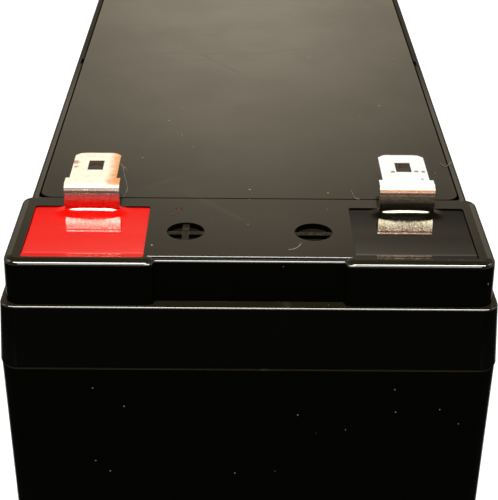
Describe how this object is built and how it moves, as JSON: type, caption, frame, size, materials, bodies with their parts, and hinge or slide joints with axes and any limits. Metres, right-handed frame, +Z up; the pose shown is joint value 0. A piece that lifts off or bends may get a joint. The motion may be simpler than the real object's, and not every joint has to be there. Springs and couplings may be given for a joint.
{
  "type": "sealed lead acid battery",
  "caption": "Sealed lead acid block battery: drafted black case, stepped lid with flush vent cover, and two bent push-on tabs standing in resin-filled corner wells.",
  "frame": {"origin": "middle of the base, on the surface that the battery stands on", "axes": "+Z up, +Y along the length away from the terminal end, +X across the width, so that the positive tab is on the -X side and both tabs are at the -Y end"},
  "size_m": [0.065, 0.151, 0.0975],
  "materials": {
    "case_plastic": "moulded, satin gloss",
    "lid_plastic": "moulded, gloss",
    "cover_plastic": "moulded, gloss, finely scratched",
    "positive_resin": "poured, glossy",
    "negative_resin": "poured, glossy",
    "positive_tab_metal": "tinned, worn to copper on one edge",
    "negative_tab_metal": "tinned",
    "lead": "cast",
    "positive_plate": "pasted grid",
    "negative_plate": "pasted grid",
    "glass_mat": "felted",
    "rubber": "moulded"
  },
  "bodies": {
    "root": {"container": "case_plastic", "lid": "lid_plastic", "vent_cover": "cover_plastic", "valve_cap_1": "rubber", "valve_cap_2": "rubber", "valve_cap_3": "rubber", "valve_cap_4": "rubber", "valve_cap_5": "rubber", "valve_cap_6": "rubber", "positive_tab": "positive_tab_metal", "positive_post": "lead", "positive_post_ring": "rubber", "positive_seal": "positive_resin", "negative_tab": "negative_tab_metal", "negative_post": "lead", "negative_post_ring": "rubber", "negative_seal": "negative_resin", "cell_1_positive_plates": "positive_plate", "cell_1_negative_plates": "negative_plate", "cell_1_separators": "glass_mat", "cell_2_positive_plates": "positive_plate", "cell_2_negative_plates": "negative_plate", "cell_2_separators": "glass_mat", "cell_3_positive_plates": "positive_plate", "cell_3_negative_plates": "negative_plate", "cell_3_separators": "glass_mat", "cell_4_positive_plates": "positive_plate", "cell_4_negative_plates": "negative_plate", "cell_4_separators": "glass_mat", "cell_5_positive_plates": "positive_plate", "cell_5_negative_plates": "negative_plate", "cell_5_separators": "glass_mat", "cell_6_positive_plates": "positive_plate", "cell_6_negative_plates": "negative_plate", "cell_6_separators": "glass_mat"}
  },
  "joints": []
}
